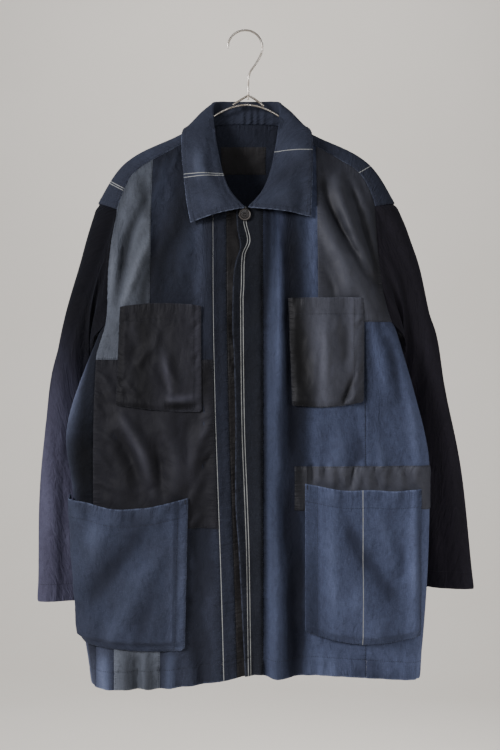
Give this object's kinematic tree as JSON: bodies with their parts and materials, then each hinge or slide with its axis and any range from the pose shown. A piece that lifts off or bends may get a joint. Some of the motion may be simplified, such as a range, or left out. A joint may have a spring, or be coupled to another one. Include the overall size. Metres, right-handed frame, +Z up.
{
  "type": "patched work jacket on a wire hanger",
  "caption": "Loose patchwork work jacket of blue and grey cotton and dark nylon, with a fold-over collar, covered front closing and bellows pockets, hung on a wire hanger.",
  "frame": {"origin": "where the inside of the hanger's hook bears on what carries it", "axes": "+Z up, +X to the right seen from the front, the front of the jacket faces -Y"},
  "size_m": [0.6339, 0.1544, 0.9552],
  "materials": {
    "blue_cotton": "washed navy-blue cotton with a fine uneven weave",
    "grey_cotton": "faded grey cotton",
    "dark_nylon": "charcoal nylon with a satin sheen",
    "sleeve_cotton": "dark navy cotton",
    "button": "dark brown-black, polished",
    "wire": "bright wire, slightly tarnished"
  },
  "bodies": {
    "root": {"front_right": "blue_cotton", "band_right": "blue_cotton", "edge_strip_right": "dark_nylon", "patch_grey_chest": "grey_cotton", "patch_nylon_waist": "dark_nylon", "patch_grey_hem": "grey_cotton", "placket": "blue_cotton", "front_left_inner": "blue_cotton", "front_left_outer": "blue_cotton", "patch_nylon_chest": "dark_nylon", "patch_nylon_strip": "dark_nylon", "side_right": "blue_cotton", "side_left": "blue_cotton", "back": "blue_cotton", "neck_patch": "dark_nylon", "shoulder_right": "blue_cotton", "shoulder_left": "blue_cotton", "sleeve_right": "sleeve_cotton", "sleeve_left": "sleeve_cotton", "collar": "blue_cotton", "pocket_chest_right": "dark_nylon", "pocket_chest_left": "dark_nylon", "pocket_hip_right": "blue_cotton", "pocket_hip_left": "blue_cotton", "button": "button", "hanger_hook": "wire", "hanger_bow": "wire"}
  },
  "joints": []
}
